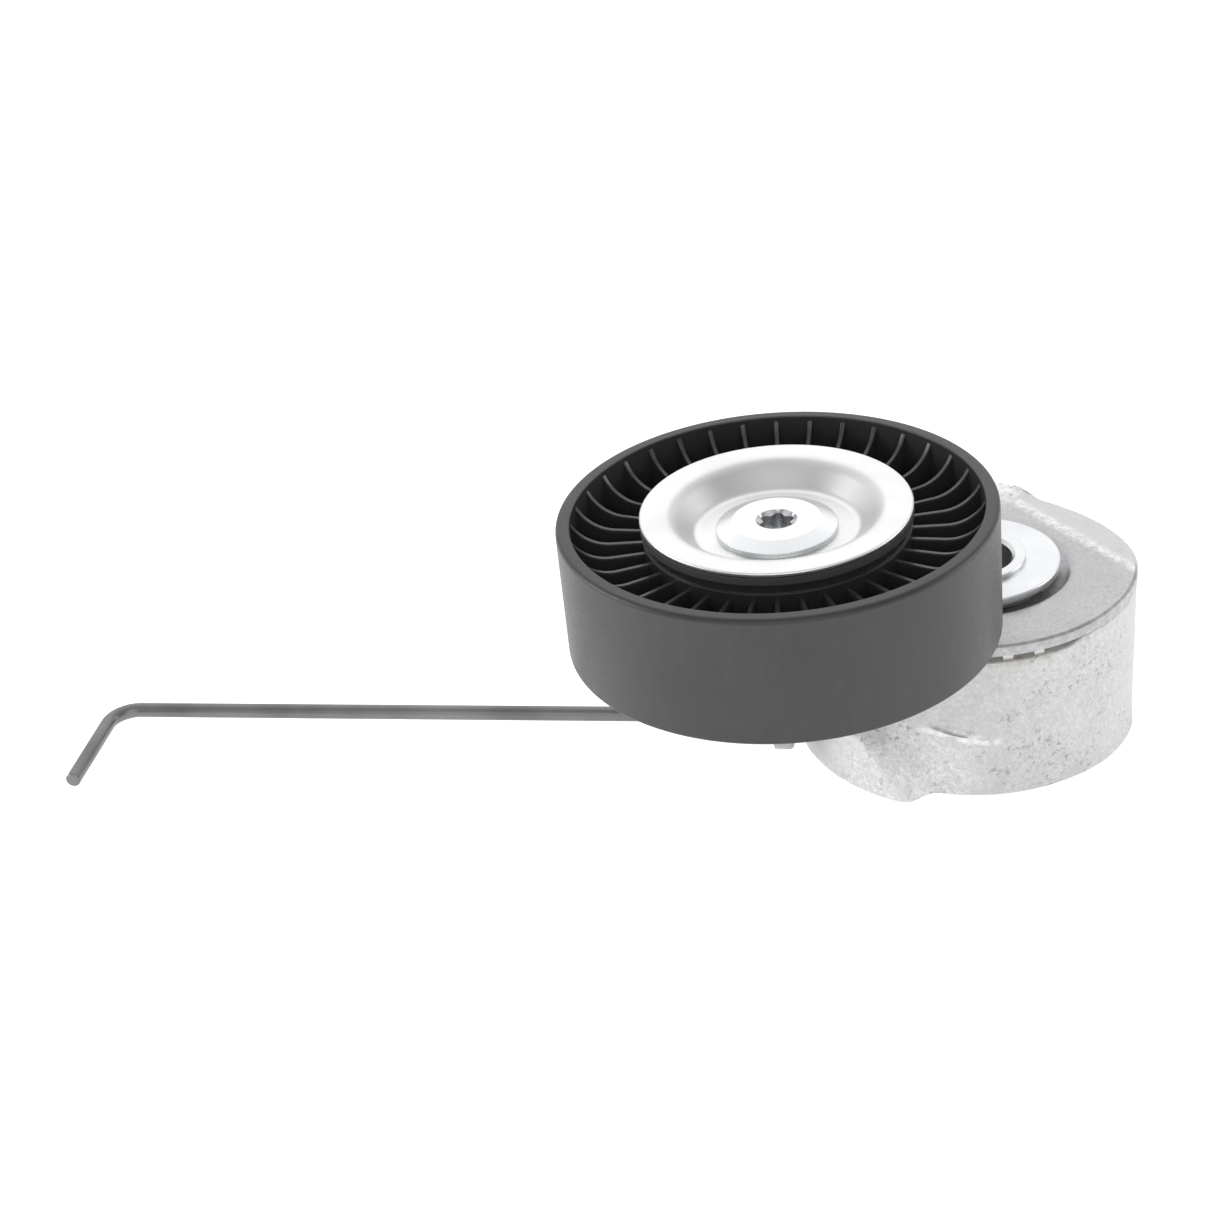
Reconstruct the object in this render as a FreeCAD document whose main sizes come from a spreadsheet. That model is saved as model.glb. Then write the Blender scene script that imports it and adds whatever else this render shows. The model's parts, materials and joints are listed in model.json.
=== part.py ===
import FreeCAD, Part

import math
import os

import Sketcher

# Belt tensioner idler, millimetres. The origin is the centre of the mounting bore at the base's
# engine-side face, +Z runs along the pivot axis towards the pulley, and the pulley's arm points
# to the -X, -Y side.

DIMENSIONS = {
    # pivot stack, radii and heights above the engine-side face
    "foot_radius": 30.8,
    "foot_edge": 0.5,
    "rim_radius": 31.5,
    "base_height": 31.3,
    "cup_radius": 28.0,
    "cup_floor": 5.0,
    "centre_boss_radius": 13.0,
    "centre_boss_height": 14.0,
    "tube_radius": 9.5,
    "bore_radius": 7.6,
    "tube_flange_radius": 10.3,
    "tube_flange": 0.95,
    "tube_mouth": 0.6,
    "washer_radius": 16.9,
    "washer_top": 35.3,
    "washer_thickness": 1.55,
    "washer_edge": 0.25,
    "thrust_radius": 16.2,
    "thrust_thickness": 1.0,
    "thrust_notch": 3.0,
    "gap": 0.3,
    "slip": 0.05,
    # lug on the base that takes the locking pin's point
    "lug_radius": 36.0,
    "lug_height": 13.2,
    "lug_start": 176.0,
    "lug_sweep": 59.5,
    "dowel_radius": 2.5,
    "dowel_depth": 6.0,
    "dowel_place": 32.0,
    "dowel_angle": 218.0,
    # window in the base rim where the guide ring shows
    "window_start": 248.0,
    "window_sweep": 50.0,
    "window_depth": 0.9,
    "guide_groove": 1.6,
    "guide_height": 1.1,
    "tab_length": 2.4,
    "tab_width": 1.9,
    "first_tab": 269.5,
    "second_tab": 280.8,
    # arm
    "hub_radius": 31.7,
    "hub_top": 34.0,
    "hub_edge": 0.5,
    "hub_dish": 33.5,
    "recess_radius": 19.2,
    "recess_floor": 32.4,
    "recess_floor_radius": 17.9,
    "dish_radius": 24.2,
    "dish_flare": 4.0,
    "sleeve_radius": 14.6,
    "sleeve_bore": 11.3,
    "sleeve_bottom": 14.9,
    "plate_bottom": 29.0,
    "skirt_radius": 26.2,
    "skirt_bore": 24.6,
    "skirt_bottom": 22.0,
    "shoe_radius": 27.7,
    "beam_top": 38.9,
    "lump_rise": 1.3,
    "boss_bottom": 24.0,
    "boss_radius": 12.5,
    "boss_top": 47.0,
    "facet_distance": 22.7,
    "facet_heading": 27.0,
    "facet_slope": 12.0,
    "facet_length": 90.0,
    # pulley and its place on the arm
    "arm_length": 47.9,
    "arm_heading": 213.2,
    "pulley_radius": 40.0,
    "pulley_bottom": 40.5,
    "pulley_top": 65.3,
    "pulley_edge": 0.9,
    "rim_inner": 37.3,
    "web_bottom": 51.5,
    "web_top": 54.5,
    "hub_outer": 24.8,
    "hub_band_bottom": 63.1,
    "hub_neck": 24.0,
    "collar_radius": 24.4,
    "collar_top": 61.2,
    "hub_lip": 18.7,
    "rib_count": 36.0,
    "rib_phase": 3.2,
    "rib_thickness": 1.2,
    "rib_flat": 59.8,
    "rib_knee": 30.4,
    "rib_rim_height": 64.3,
    "rib_root": 0.5,
    "rib_setback": 2.0,
    # ball bearing
    "bearing_bore": 8.5,
    "bearing_outside": 20.0,
    "bearing_bottom": 47.8,
    "bearing_width": 12.0,
    "bearing_lip": 0.9,
    "inner_ring_land": 12.1,
    "outer_ring_land": 16.6,
    "ball_radius": 3.3735,
    "ball_pitch": 14.25,
    "groove_play": 0.13,
    "pocket_play": 0.12,
    "seal_thickness": 0.8,
    "seal_recess": 0.4,
    "cage_sheet": 0.7,
    "cage_width": 2.7,
    "rivet_radius": 0.5,
    # cap and bolt
    "cap_radius": 24.9,
    "cap_rise": 0.4,
    "cap_sheet": 1.0,
    "cap_ring_inner": 19.7,
    "cap_floor_radius": 14.9,
    "cap_hole": 4.3,
    "cap_edge": 0.7,
    "bolt_head_radius": 11.1,
    "bolt_head_edge": 0.9,
    "bolt_head_height": 2.1,
    "bolt_face_radius": 8.1,
    "bolt_radius": 4.0,
    "bolt_end": 38.0,
    "drive_mouth": 3.9,
    "drive_mouth_depth": 0.6,
    "drive_core": 2.65,
    "drive_lobe": 0.8,
    "drive_tip": 3.45,
    "drive_depth": 3.4,
    "drive_turn": 17.0,
    # torsion spring
    "spring_wire": 2.4,
    "spring_mean": 19.6,
    "spring_start": 8.9,
    "spring_pitch": 5.8,
    "spring_turns": 3.0,
    "seat_inner": 15.5,
    "seat_outer": 24.0,
    "seat_thickness": 1.3,
    # locking pin
    "pin_radius": 1.5,
    "pin_height": 9.5,
    "pin_heading": -12.76,
    "pin_offset": 17.3,
    "pin_corner": 177.2,
    "pin_tip": 32.8,
    "pin_leg": 26.0,
    "pin_bend": 5.5,
    "pin_hole_play": 0.05,
    "lock_lug_inner": 35.0,
    "lock_lug_thickness": 3.8,
    "lock_lug_radius": 6.8,
    "lock_lug_top": 32.9,
    "lock_hole_play": 0.15,
    "lock_hole_depth": 13.0,
}
BALLS = 8
DRIVE_LOBES = 6
THRUST_NOTCHES = 6

# Outlines seen from above, as (distance from the pivot axis, degrees round it) of each corner.
# The lug's shoulders count their degrees from the lug's end, the beam and web from the arm's heading.
SHOULDER = ((36.0, 0.0), (35.3, 2.6), (33.6, 4.6), (31.9, 7.5), (30.9, 12.0), (28.0, 12.0))
BEAM = ((29, -66), (43, -35), (46.5, -29), (59, -9), (60.5, 0), (59, 9), (49.5, 16), (29, 48))
BOSS_WEB = ((33, -9), (48, -6), (48, 6), (33, 9))
STOP_LUMP = ((28.2, 58), (31.6, 57), (33.2, 63), (33.6, 80), (33.2, 97), (28.2, 98))

doc = FreeCAD.newDocument("belt_tensioner_idler")
sheet = doc.addObject("Spreadsheet::Sheet", "Size")
for row, (alias, value) in enumerate(DIMENSIONS.items(), start=1):
    sheet.set("A%d" % row, alias)
    sheet.set("B%d" % row, str(value))
    sheet.setAlias("B%d" % row, alias)
doc.recompute()

HEADING = "Size.arm_heading"
PIN_HEADING = "Size.pin_heading"
ARM_X = "Size.arm_length * cos(%s)" % HEADING
ARM_Y = "Size.arm_length * sin(%s)" % HEADING
BEARING_TOP = "Size.bearing_bottom + Size.bearing_width"
BEARING_MIDDLE = "Size.bearing_bottom + Size.bearing_width / 2"
CAP_TOP = "Size.pulley_top + Size.cap_rise"
BOLT_SEAT = BEARING_TOP + " + Size.cap_sheet"
HEAD_TOP = BOLT_SEAT + " + Size.bolt_head_height"
WASHER_BOTTOM = "Size.washer_top - Size.washer_thickness"
ARM_UNDERSIDE = "Size.base_height + Size.gap + Size.slip"
GUIDE_FLOOR = "Size.base_height - Size.guide_height"
GUIDE_WALL = "Size.cup_radius + Size.guide_groove"
parts = {}


# ---------------------------------------------------------------- helpers


def bind(thing, **formulas):
    """Ties properties to formulas of the sheet's values."""
    for name, formula in formulas.items():
        thing.setExpression(name, formula)


def place(thing, x="0", y="0", z="0", turn="0", tilt="0"):
    """Places a part by formulas: tilted about Y, turned about Z, then moved."""
    turned = "rotation(vector(0; 0; 1); %s) * rotation(vector(0; 1; 0); %s)" % (turn, tilt)
    thing.setExpression("Placement", "placement(vector(%s; %s; %s); %s)" % (x, y, z, turned))
    return thing


def place_on_arm(thing):
    """Places a part on the pulley's axis."""
    return place(thing, ARM_X, ARM_Y)


def pin_point(along, offset="Size.pin_offset"):
    """Formulas for a point at a distance along the pin's line and one to the side of the pivot."""
    x = "(%s) * cos(%s) + (%s) * sin(%s)" % (along, PIN_HEADING, offset, PIN_HEADING)
    y = "(%s) * sin(%s) - (%s) * cos(%s)" % (along, PIN_HEADING, offset, PIN_HEADING)
    return x, y


def place_on_pin_line(thing, along):
    """Lays a part's Z axis along the locking pin, starting at a distance from the pivot."""
    return place(thing, *pin_point(along), "Size.pin_height", PIN_HEADING, "90")


def polar(distance, degrees):
    """Formulas for the point at a distance and heading from the pivot axis."""
    return "(%s) * cos(%s)" % (distance, degrees), "(%s) * sin(%s)" % (distance, degrees)


def polar_outline(corners, heading, sign="+"):
    """Formulas for an outline's corners, their degrees counted from a heading."""
    return [polar(distance, "%s %s (%s)" % (heading, sign, degrees)) for distance, degrees in corners]


def keep(label, thing):
    """Registers a finished sub-part under its own label."""
    thing.Label = label
    parts[label] = thing
    return thing


def origin_part(body, role):
    """The body's own origin plane or axis with this role."""
    return next(item for item in body.Origin.OriginFeatures if item.Role == role)


def outline_sketch(body, name, corners, role="XZ_Plane", height=None):
    """A closed outline whose corners are pairs of formulas, on one of the body's planes."""
    sketch = body.newObject("Sketcher::SketchObject", name)
    sketch.AttachmentSupport = (origin_part(body, role), [""])
    sketch.MapMode = "FlatFace"
    if height:
        sketch.setExpression("AttachmentOffset.Base.z", height)
    count = len(corners)
    for index in range(count):
        start = FreeCAD.Vector(10 + index, index * index % 7, 0)
        after = (index + 1) % count
        end = FreeCAD.Vector(10 + after, after * after % 7, 0)
        sketch.addGeometry(Part.LineSegment(start, end), False)
    for index in range(count):
        after = (index + 1) % count
        sketch.addConstraint(Sketcher.Constraint("Coincident", index, 2, after, 1))
    for index, corner in enumerate(corners):
        for kind, axis, formula in (("DistanceX", -2, corner[0]), ("DistanceY", -1, corner[1])):
            if formula == "0":
                sketch.addConstraint(Sketcher.Constraint("PointOnObject", index, 1, axis))
                continue
            number = sketch.addConstraint(Sketcher.Constraint(kind, -1, 1, index, 1, 10.0))
            sketch.setExpression("Constraints[%d]" % number, formula)
    return sketch


def revolve(body, name, corners, kind="Revolution"):
    """Turns an outline of (radius, height) corners about the body's Z axis."""
    sketch = outline_sketch(body, name + "_outline", corners)
    feature = body.newObject("PartDesign::" + kind, name)
    feature.Profile = sketch
    feature.ReferenceAxis = (sketch, ["V_Axis"])
    feature.Angle = 360
    return feature


def pad(body, name, corners, bottom, length):
    """Raises an outline seen from above, from one height and by a length."""
    sketch = outline_sketch(body, name + "_outline", corners, "XY_Plane", bottom)
    feature = body.newObject("PartDesign::Pad", name)
    feature.Profile = sketch
    bind(feature, Length=length)
    return feature


def primitive(body, kind, name, **formulas):
    """A PartDesign primitive, such as SubtractiveCylinder, bound to formulas."""
    feature = body.newObject("PartDesign::" + kind, name)
    bind(feature, **formulas)
    return feature


def polar_pattern(body, name, originals, count):
    """Repeats features round the body's Z axis and makes the pattern the body's tip."""
    pattern = body.newObject("PartDesign::PolarPattern", name)
    pattern.Originals = originals
    pattern.Axis = (origin_part(body, "Z_Axis"), [""])
    pattern.Angle = 360
    pattern.Occurrences = count
    body.Tip = pattern
    return pattern


def new_body(label):
    return keep(label, doc.addObject("PartDesign::Body", label))


def turned_part(label, corners):
    """A part turned about its own axis in one piece."""
    body = new_body(label)
    revolve(body, label + "_turned", corners)
    return body


def cylinder(name, radius, height, bottom="0", x="0", y="0", **more):
    """A Part cylinder standing on the given height."""
    solid = doc.addObject("Part::Cylinder", name)
    bind(solid, Radius=radius, Height=height, **more)
    return place(solid, x, y, bottom)


def cut(name, base, tool):
    result = doc.addObject("Part::Cut", name)
    result.Base = base
    result.Tool = tool
    return result


def joined(kind, name, shapes):
    """A MultiFuse or MultiCommon of several shapes."""
    result = doc.addObject("Part::" + kind, name)
    result.Shapes = shapes
    return result


def ring(label, inner, outer, bottom, height, **more):
    """A plain ring between two radii."""
    outside = cylinder(label + "_outside", outer, height, bottom, **more)
    hole = cylinder(label + "_hole", inner, height, bottom)
    return keep(label, cut(label, outside, hole))


# ---------------------------------------------------------------- base and pivot


def make_base():
    """Die-cast base: its wall with the lock lug, seam window and dowel hole, and its floor with
    the centre boss. The casting's two stretches are nodes of their own, so that the cup stays open."""
    body = new_body("base_housing")
    revolve(body, "shell", [
        ("Size.cup_radius - 1", "0"),
        ("Size.foot_radius - Size.foot_edge", "0"),
        ("Size.foot_radius", "Size.foot_edge"),
        ("Size.rim_radius", "Size.base_height"),
        ("Size.cup_radius - 1", "Size.base_height"),
    ])
    lug = primitive(body, "AdditiveCylinder", "lug", Radius="Size.lug_radius",
                    Height="Size.lug_height", Angle="Size.lug_sweep")
    place(lug, turn="Size.lug_start")
    for name, heading, sign in (
        ("front_shoulder", "Size.lug_start + Size.lug_sweep", "+"),
        ("rear_shoulder", "Size.lug_start", "-"),
    ):
        corners = [polar("Size.cup_radius", heading)] + polar_outline(SHOULDER, heading, sign)
        pad(body, name, corners, "0", "Size.lug_height")
    revolve(body, "cup", [
        ("0", "-1"),
        ("Size.cup_radius", "-1"),
        ("Size.cup_radius", GUIDE_FLOOR),
        (GUIDE_WALL, GUIDE_FLOOR),
        (GUIDE_WALL, "Size.base_height + 1"),
        ("0", "Size.base_height + 1"),
    ], "Groove")
    window = primitive(body, "SubtractiveCylinder", "window", Radius="Size.lug_radius",
                       Height="2 * Size.window_depth", Angle="Size.window_sweep")
    place(window, z="Size.base_height - Size.window_depth", turn="Size.window_start")
    dowel = primitive(body, "SubtractiveCylinder", "dowel_hole", Radius="Size.dowel_radius",
                      Height="Size.dowel_depth")
    place(dowel, *polar("Size.dowel_place", "Size.dowel_angle"))
    lock = primitive(body, "SubtractiveCylinder", "lock_hole", Height="Size.lock_hole_depth",
                     Radius="Size.pin_radius + Size.lock_hole_play")
    place_on_pin_line(lock, "-Size.lug_radius - 2")
    turned_part("base_floor", [
        ("Size.tube_radius", "0"),
        ("Size.cup_radius", "0"),
        ("Size.cup_radius", "Size.cup_floor"),
        ("Size.centre_boss_radius", "Size.cup_floor"),
        ("Size.centre_boss_radius", "Size.centre_boss_height"),
        ("Size.tube_radius", "Size.centre_boss_height"),
    ])


def make_pivot():
    """Tube, washer, notched ring, guide ring and the plain discs of the pivot."""
    flange_bottom = "Size.washer_top"
    flange_top = "Size.washer_top + Size.tube_flange"
    turned_part("pivot_tube", [
        ("Size.bore_radius", "0"),
        ("Size.tube_radius", "0"),
        ("Size.tube_radius", flange_bottom),
        ("Size.tube_flange_radius", flange_bottom),
        ("Size.tube_flange_radius", flange_top),
        ("Size.bore_radius + Size.tube_mouth", flange_top),
        ("Size.bore_radius", flange_top + " - Size.tube_mouth"),
    ])
    turned_part("pivot_washer", [
        ("Size.tube_radius", WASHER_BOTTOM),
        ("Size.washer_radius", WASHER_BOTTOM),
        ("Size.washer_radius", "Size.washer_top - Size.washer_edge"),
        ("Size.washer_radius - Size.washer_edge", "Size.washer_top"),
        ("Size.tube_radius", "Size.washer_top"),
    ])
    thrust = turned_part("thrust_ring", [
        ("Size.tube_radius", WASHER_BOTTOM + " - Size.thrust_thickness"),
        ("Size.thrust_radius", WASHER_BOTTOM + " - Size.thrust_thickness"),
        ("Size.thrust_radius", WASHER_BOTTOM),
        ("Size.tube_radius", WASHER_BOTTOM),
    ])
    notch = primitive(thrust, "SubtractiveBox", "notch", Length="Size.thrust_notch",
                      Width="Size.thrust_notch", Height="2 * Size.thrust_thickness")
    place(notch, *polar("Size.thrust_radius - Size.thrust_thickness", "-58"), "Size.recess_floor", "-58")
    polar_pattern(thrust, "notches", [notch], THRUST_NOTCHES)
    guide_outer = GUIDE_WALL + " - Size.slip"
    band = turned_part("guide_ring", [
        ("Size.cup_radius + Size.slip", GUIDE_FLOOR),
        (guide_outer, GUIDE_FLOOR),
        (guide_outer, "Size.base_height"),
        ("Size.cup_radius + Size.slip", "Size.base_height"),
    ])
    for name in ("first_tab", "second_tab"):
        heading = "Size." + name
        tab = primitive(band, "AdditiveBox", name, Length="Size.tab_length", Width="Size.tab_width",
                        Height="Size.window_depth")
        start = polar("Size.cup_radius + Size.gap", heading)
        place(tab, *start, "Size.base_height - Size.window_depth", heading)
    ring("lower_thrust_disc", "Size.tube_radius", "Size.centre_boss_radius",
         "Size.centre_boss_height", "Size.sleeve_bottom - Size.centre_boss_height - Size.gap")
    ring("pivot_bushing", "Size.tube_radius + Size.slip", "Size.sleeve_bore",
         "Size.sleeve_bottom", "Size.recess_floor - Size.sleeve_bottom")
    ring("damping_shoe", "Size.skirt_radius", "Size.shoe_radius", "Size.skirt_bottom + Size.gap",
         "Size.plate_bottom - Size.skirt_bottom", Angle="310")


def make_spring():
    """Torsion spring round the sleeve, and the plastic ring that it stands on."""
    ring("spring_seat", "Size.seat_inner", "Size.seat_outer", "Size.cup_floor",
         "Size.seat_thickness")
    coil = doc.addObject("Part::Helix", "spring_line")
    bind(coil, Radius="Size.spring_mean", Pitch="Size.spring_pitch",
         Height="Size.spring_pitch * Size.spring_turns")
    place(coil, z="Size.spring_start")
    section = doc.addObject("Part::Circle", "spring_section")
    bind(section, Radius="Size.spring_wire")
    section.setExpression("Placement", "placement(vector(Size.spring_mean; 0; Size.spring_start);"
                                       " rotation(vector(1; 0; 0); 90))")
    spring = doc.addObject("Part::Sweep", "torsion_spring")
    spring.Sections = [section]
    spring.Spine = (coil, [])
    spring.Solid = True
    spring.Frenet = True
    keep("torsion_spring", spring)


# ---------------------------------------------------------------- arm


def make_arm():
    """Cast arm: hub cap over the base, beam, pulley boss with spigot, and the lock lug. The skirt and
    the sleeve under the hub are nodes of their own, so that the space round them stays open."""
    body = new_body("tensioner_arm")
    revolve(body, "hub", [
        ("0", "Size.plate_bottom"),
        ("Size.skirt_radius", "Size.plate_bottom"),
        ("Size.skirt_radius", ARM_UNDERSIDE),
        ("Size.hub_radius", ARM_UNDERSIDE),
        ("Size.hub_radius", "Size.hub_top - Size.hub_edge"),
        ("Size.hub_radius - Size.hub_edge", "Size.hub_top"),
        ("0", "Size.hub_top"),
    ])
    facet = primitive(body, "SubtractiveBox", "facet", Length="Size.hub_radius",
                      Width="Size.facet_length", Height="Size.hub_radius")
    half = "Size.facet_length / 2"
    facet_x = "Size.facet_distance * cos(Size.facet_heading) + %s * sin(Size.facet_heading)" % half
    facet_y = "Size.facet_distance * sin(Size.facet_heading) - %s * cos(Size.facet_heading)" % half
    place(facet, facet_x, facet_y, "Size.hub_top", "Size.facet_heading", "Size.facet_slope")
    pad(body, "beam", polar_outline(BEAM, HEADING), ARM_UNDERSIDE,
        "Size.beam_top - (%s)" % ARM_UNDERSIDE)
    pad(body, "stop_lump", polar_outline(STOP_LUMP, "0"), ARM_UNDERSIDE,
        "Size.hub_top + Size.lump_rise - (%s)" % ARM_UNDERSIDE)
    web_bottom = "Size.boss_bottom + Size.hub_edge"
    pad(body, "boss_web", polar_outline(BOSS_WEB, HEADING), web_bottom,
        "%s - (%s)" % (ARM_UNDERSIDE, web_bottom))
    boss = primitive(body, "AdditiveCylinder", "boss", Radius="Size.boss_radius",
                     Height="Size.boss_top - Size.boss_bottom")
    place(boss, ARM_X, ARM_Y, "Size.boss_bottom")
    spigot = primitive(body, "AdditiveCylinder", "spigot", Radius="Size.bearing_bore",
                       Height=BEARING_TOP + " - Size.boss_top - 2 * Size.gap")
    place(spigot, ARM_X, ARM_Y, "Size.boss_top")
    thread = primitive(body, "SubtractiveCylinder", "thread", Radius="Size.bolt_radius",
                       Height=BEARING_TOP + " - Size.bolt_end + 2")
    place(thread, ARM_X, ARM_Y, "Size.bolt_end - 1")
    add_lock_lug(body)
    revolve(body, "pivot_recess", [
        ("0", "Size.plate_bottom - 1"),
        ("Size.sleeve_bore", "Size.plate_bottom - 1"),
        ("Size.sleeve_bore", "Size.recess_floor"),
        ("Size.recess_floor_radius", "Size.recess_floor"),
        ("Size.recess_radius", "Size.hub_dish"),
        ("Size.dish_radius", "Size.hub_top"),
        ("Size.dish_radius + Size.dish_flare", "Size.beam_top + 1"),
        ("0", "Size.beam_top + 1"),
    ], "Groove")
    ring("arm_sleeve", "Size.sleeve_bore", "Size.sleeve_radius", "Size.sleeve_bottom",
         "Size.plate_bottom - Size.sleeve_bottom")
    ring("arm_skirt", "Size.skirt_bore", "Size.skirt_radius", "Size.skirt_bottom",
         "Size.plate_bottom - Size.skirt_bottom")


def add_lock_lug(body):
    """The plate that hangs from the beam, with a round eye that holds the locking pin."""
    start = "-Size.lock_lug_inner - Size.lock_lug_thickness"
    eye = primitive(body, "AdditiveCylinder", "lock_lug_eye", Radius="Size.lock_lug_radius",
                    Height="Size.lock_lug_thickness")
    place_on_pin_line(eye, start)
    plate = primitive(body, "AdditiveBox", "lock_lug_plate", Length="Size.lock_lug_thickness",
                      Width="2 * Size.lock_lug_radius", Height="Size.lock_lug_top - Size.pin_height")
    corner = pin_point(start, "Size.pin_offset + Size.lock_lug_radius")
    place(plate, *corner, "Size.pin_height", PIN_HEADING)
    hole = primitive(body, "SubtractiveCylinder", "lock_lug_hole",
                     Radius="Size.pin_radius + Size.pin_hole_play", Height="Size.lock_lug_thickness + 2")
    place_on_pin_line(hole, start + " - 1")


# ---------------------------------------------------------------- pulley and bearing


def make_pulley():
    """Moulded pulley: smooth rim, web, hub over the bearing, ribs on both sides."""
    body = new_body("pulley")
    edge = "Size.pulley_edge"
    lip = "Size.bearing_lip"
    seat = "Size.pulley_top - Size.cap_sheet"
    revolve(body, "wheel", [
        ("Size.hub_lip", "Size.bearing_bottom - " + lip),
        ("Size.hub_outer", "Size.bearing_bottom - " + lip),
        ("Size.hub_outer", "Size.web_bottom"),
        ("Size.rim_inner", "Size.web_bottom"),
        ("Size.rim_inner", "Size.pulley_bottom + " + edge),
        ("Size.rim_inner + " + edge, "Size.pulley_bottom"),
        ("Size.pulley_radius - " + edge, "Size.pulley_bottom"),
        ("Size.pulley_radius", "Size.pulley_bottom + " + edge),
        ("Size.pulley_radius", "Size.pulley_top - " + edge),
        ("Size.pulley_radius - " + edge, "Size.pulley_top"),
        ("Size.rim_inner", "Size.pulley_top"),
        ("Size.rim_inner", "Size.web_top"),
        ("Size.collar_radius", "Size.web_top"),
        ("Size.collar_radius", "Size.collar_top"),
        ("Size.hub_neck", "Size.collar_top"),
        ("Size.hub_neck", "Size.hub_band_bottom"),
        ("Size.hub_outer", "Size.hub_band_bottom"),
        ("Size.hub_outer", seat),
        ("Size.bearing_outside + %s" % lip, seat),
        ("Size.bearing_outside + %s" % lip, BEARING_TOP + " + " + lip),
        ("Size.hub_lip", BEARING_TOP + " + " + lip),
        ("Size.hub_lip", BEARING_TOP),
        ("Size.bearing_outside", BEARING_TOP),
        ("Size.bearing_outside", "Size.bearing_bottom"),
        ("Size.hub_lip", "Size.bearing_bottom"),
    ])
    inside = "Size.collar_radius - Size.rib_root"
    outside = "Size.rim_inner + 0.2 * Size.rib_root"
    upper = rib_pad(body, "upper_rib", [
        (inside, "Size.web_top - Size.rib_root"),
        (outside, "Size.web_top - Size.rib_root"),
        (outside, "Size.rib_rim_height"),
        ("Size.rib_knee", "Size.rib_flat"),
        (inside, "Size.rib_flat"),
    ], curved=2)
    lower = rib_pad(body, "lower_rib", [
        (inside, "Size.bearing_bottom + Size.rib_root"),
        (outside, "Size.pulley_bottom + Size.rib_setback"),
        (outside, "Size.web_bottom + Size.rib_root"),
        (inside, "Size.web_bottom + Size.rib_root"),
    ])
    polar_pattern(body, "ribs", [upper, lower], int(sheet.get("rib_count")))
    place(body, ARM_X, ARM_Y, turn="Size.rib_phase")


def rib_pad(body, name, corners, curved=None):
    """A thin radial rib; the side after the given corner is an arc level at its far end."""
    sketch = outline_sketch(body, name + "_outline", corners)
    if curved is not None:
        bow_side(sketch, curved)
    feature = body.newObject("PartDesign::Pad", name)
    feature.Profile = sketch
    feature.Midplane = True
    bind(feature, Length="Size.rib_thickness")
    return feature


def bow_side(sketch, side):
    """Replaces a straight side by an arc that ends tangent to the side after it."""
    doc.recompute()
    line = sketch.Geometry[side]
    start, end = line.StartPoint, line.EndPoint
    run, rise = start.x - end.x, start.y - end.y
    radius = (run * run + rise * rise) / (2 * rise)
    centre = FreeCAD.Vector(end.x, end.y + radius, 0)
    high = math.atan2(start.y - centre.y, run) + math.radians(360)
    circle = Part.Circle(centre, FreeCAD.Vector(0, 0, 1), radius)
    arc = sketch.addGeometry(Part.ArcOfCircle(circle, math.radians(270), high), False)
    sketch.toggleConstruction(side)
    sketch.addConstraint(Sketcher.Constraint("Coincident", arc, 2, side, 1))
    sketch.addConstraint(Sketcher.Constraint("Tangent", arc, 1, side + 1, 1))


def make_bearing():
    """Deep-groove ball bearing: rings, balls, pressed two-piece cage, rivets and seals."""
    race = doc.addObject("Part::Torus", "race")
    bind(race, Radius1="Size.ball_pitch", Radius2="Size.ball_radius + Size.groove_play")
    place(race, z=BEARING_MIDDLE)
    for label, inner, outer in (
        ("bearing_inner_ring", "Size.bearing_bore", "Size.inner_ring_land"),
        ("bearing_outer_ring", "Size.outer_ring_land", "Size.bearing_outside"),
    ):
        outside = cylinder(label + "_outside", outer, "Size.bearing_width", "Size.bearing_bottom")
        hole = cylinder(label + "_hole", inner, "Size.bearing_width", "Size.bearing_bottom")
        blank = cut(label + "_blank", outside, hole)
        place_on_arm(keep(label, cut(label, blank, race)))
    seal_inner = "Size.inner_ring_land + Size.gap"
    ring_bottoms = (
        ("bearing_seal_rear", "Size.bearing_bottom + Size.seal_recess"),
        ("bearing_seal_front", BEARING_TOP + " - Size.seal_recess - Size.seal_thickness"),
    )
    for label, bottom in ring_bottoms:
        place_on_arm(ring(label, seal_inner, "Size.outer_ring_land", bottom, "Size.seal_thickness"))
    balls = [ball("ball", number, "Size.ball_radius") for number in range(BALLS)]
    place_on_arm(keep("bearing_balls", compound("bearing_balls", balls)))
    pocket = "Size.ball_radius + Size.pocket_play"
    pockets = [ball("pocket", number, pocket) for number in range(BALLS)]
    domes = [ball("dome", number, pocket + " + Size.cage_sheet") for number in range(BALLS)]
    rivet_holes = [rivet("rivet_hole", number) for number in range(BALLS)]
    reach = "Size.ball_radius + 2 * Size.cage_sheet"
    for label, bottom, flat_bottom in (
        ("cage_half_front", BEARING_MIDDLE, BEARING_MIDDLE),
        ("cage_half_rear", BEARING_MIDDLE + " - (%s)" % reach, BEARING_MIDDLE + " - Size.cage_sheet"),
    ):
        slot = slot_between_rings(label + "_space", bottom, reach)
        flat = slot_between_rings(label + "_flat", flat_bottom, "Size.cage_sheet")
        bulges = joined("MultiCommon", label + "_bulges",
                        [slot, joined("MultiFuse", label + "_domes", domes)])
        pressing = joined("MultiFuse", label + "_pressing", [flat, bulges])
        openings = joined("MultiFuse", label + "_openings", pockets + rivet_holes)
        place_on_arm(keep(label, cut(label, pressing, openings)))
    rivets = [rivet("rivet", number) for number in range(BALLS)]
    place_on_arm(keep("cage_rivets", compound("cage_rivets", rivets)))


def slot_between_rings(name, bottom, height):
    """A band as wide as the cage, between the two bearing rings."""
    outside = cylinder(name + "_outside", "Size.ball_pitch + Size.cage_width / 2", height, bottom)
    hole = cylinder(name + "_hole", "Size.ball_pitch - Size.cage_width / 2", height, bottom)
    return cut(name, outside, hole)


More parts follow.
